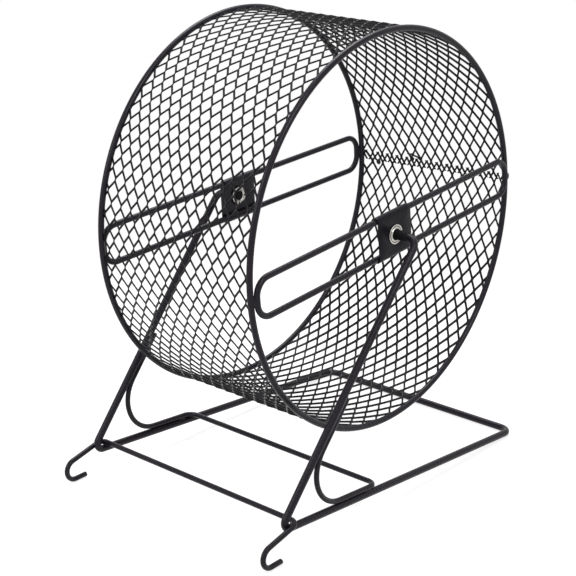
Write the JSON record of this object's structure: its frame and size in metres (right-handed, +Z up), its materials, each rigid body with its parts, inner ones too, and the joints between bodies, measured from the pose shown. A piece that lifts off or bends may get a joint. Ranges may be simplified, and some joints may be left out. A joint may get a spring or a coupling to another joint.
{
  "type": "hamster exercise wheel",
  "caption": "Free-standing hamster exercise wheel with an expanded-metal running track that spins between the legs of a bent-wire stand with cage hooks.",
  "frame": {"origin": "on the floor, at the middle of the whole part's box", "axes": "+Z up, Y along the wheel's axle, the cage hooks towards -X and the stand's rear bar towards +X"},
  "size_m": [0.2974, 0.194, 0.3256],
  "materials": {
    "black_coated_wire": "black powder coat on steel wire, satin",
    "black_coated_mesh": "black powder coat on expanded steel mesh, satin",
    "black_coated_sheet": "black powder coat on sheet steel, satin",
    "nickel_plate": "bright nickel plate on pressed steel",
    "black_plastic": "smooth matt"
  },
  "bodies": {
    "stand": {"stand_frame": "black_coated_wire", "brace_wire": "black_coated_wire", "hook_wire": "black_coated_wire", "near_axle_cap": "black_plastic", "far_axle_cap": "black_plastic"},
    "wheel": {"near_rim": "black_coated_wire", "far_rim": "black_coated_wire", "mesh_band": "black_coated_mesh", "near_crossbar": "black_coated_wire", "far_crossbar": "black_coated_wire", "near_hub_plate": "black_coated_sheet", "far_hub_plate": "black_coated_sheet", "near_eyelet": "nickel_plate", "far_eyelet": "nickel_plate"}
  },
  "joints": [
    {"name": "wheel_spin", "type": "hinge", "parent": "stand", "child": "wheel", "pos_m": [0.00898, 0, 0.1859], "axis": [0, 1, 0], "continuous": true}
  ]
}
